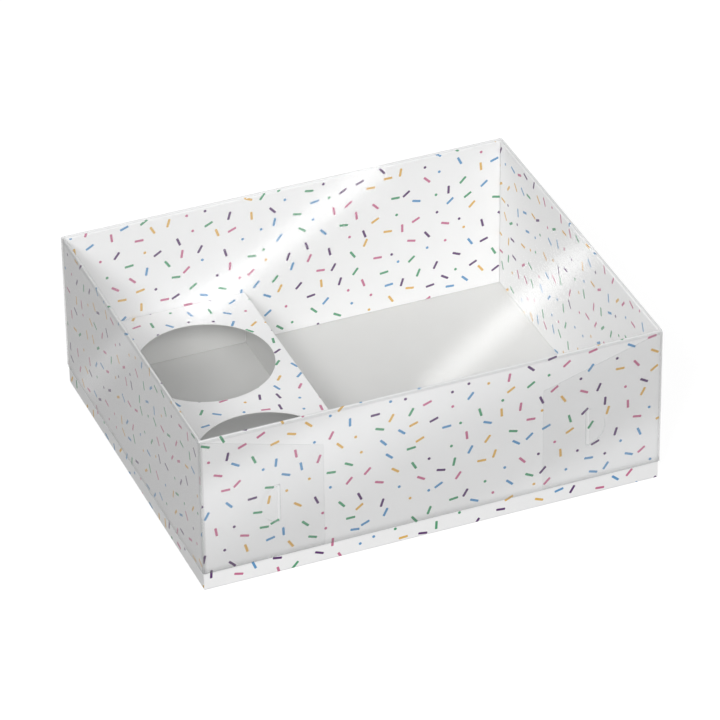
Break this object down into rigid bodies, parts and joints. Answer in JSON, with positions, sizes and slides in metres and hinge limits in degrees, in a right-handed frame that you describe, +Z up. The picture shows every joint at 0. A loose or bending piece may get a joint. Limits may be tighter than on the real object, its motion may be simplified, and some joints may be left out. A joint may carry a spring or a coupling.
{
  "type": "cupcake box",
  "caption": "Folded card tray with a raised insert with round wells beside an open cake space, under a clear folded film lid.",
  "frame": {"origin": "centre of the tray's underside, on the surface that the box stands on", "axes": "+X along the box's length towards the open cake space, -Y towards the front in the picture, +Z up"},
  "size_m": [0.2214, 0.1808, 0.0806],
  "materials": {
    "printed_card": "satin",
    "insert_card": "satin",
    "clear_film": "gloss"
  },
  "bodies": {
    "tray": {"base_tray": "printed_card", "cupcake_insert": "insert_card"},
    "lid": {"clear_lid": "clear_film"}
  },
  "joints": [
    {"name": "lid_lift", "type": "slide", "parent": "tray", "child": "lid", "axis": [0, 0, 1], "range_m": [0, 0.09]}
  ]
}
